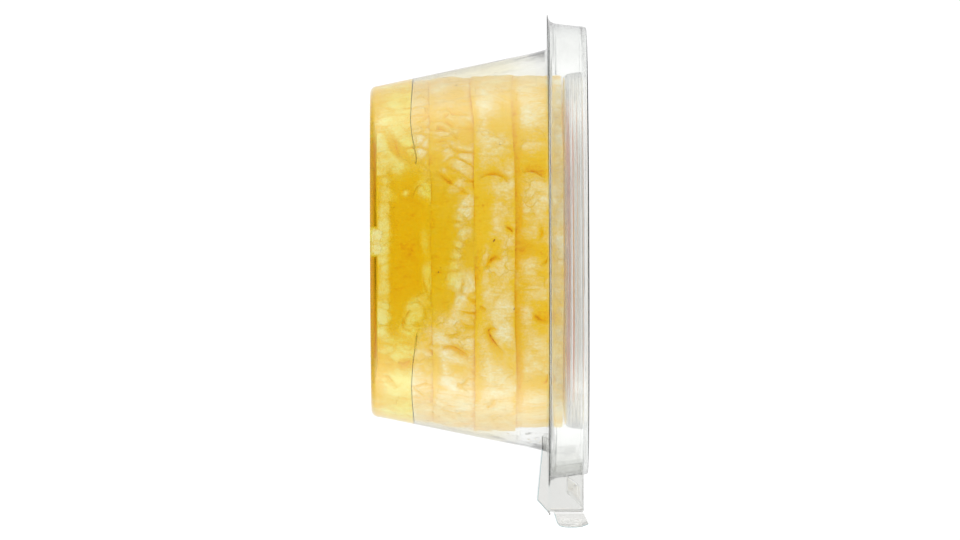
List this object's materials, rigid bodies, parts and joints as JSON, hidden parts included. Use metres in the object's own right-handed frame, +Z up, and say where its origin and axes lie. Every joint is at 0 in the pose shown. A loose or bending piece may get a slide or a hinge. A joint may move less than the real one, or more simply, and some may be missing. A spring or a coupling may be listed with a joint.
{
  "type": "tub of pineapple rings",
  "caption": "Round clear plastic tub of stacked pineapple rings in juice, shut with a clear press-on lid that has a stacking recess, a round label and a tear tab.",
  "frame": {"origin": "on the floor, in the middle of the footprint, which runs from the rim on the -X side to the tear lip on the +X side", "axes": "+Z up through the tub, +X towards the tear tab, +Y along the tear tab's width"},
  "size_m": [0.1484, 0.1368, 0.0628],
  "materials": {
    "clear_sheet": "clear formed plastic sheet, smooth and glossy, faint grey-green edges",
    "label_print": "printed film label, satin, coral and orange fields",
    "pineapple": "wet fibrous pineapple flesh, cream to golden yellow, light passes into it",
    "juice": "clear golden yellow juice"
  },
  "bodies": {
    "root": {"tub": "clear_sheet", "lid": "clear_sheet", "tear_lip": "clear_sheet", "label": "label_print", "pineapple_ring_1": "pineapple", "pineapple_ring_2": "pineapple", "pineapple_ring_3": "pineapple", "pineapple_ring_4": "pineapple", "loose_piece": "pineapple", "juice": "juice"}
  },
  "joints": []
}
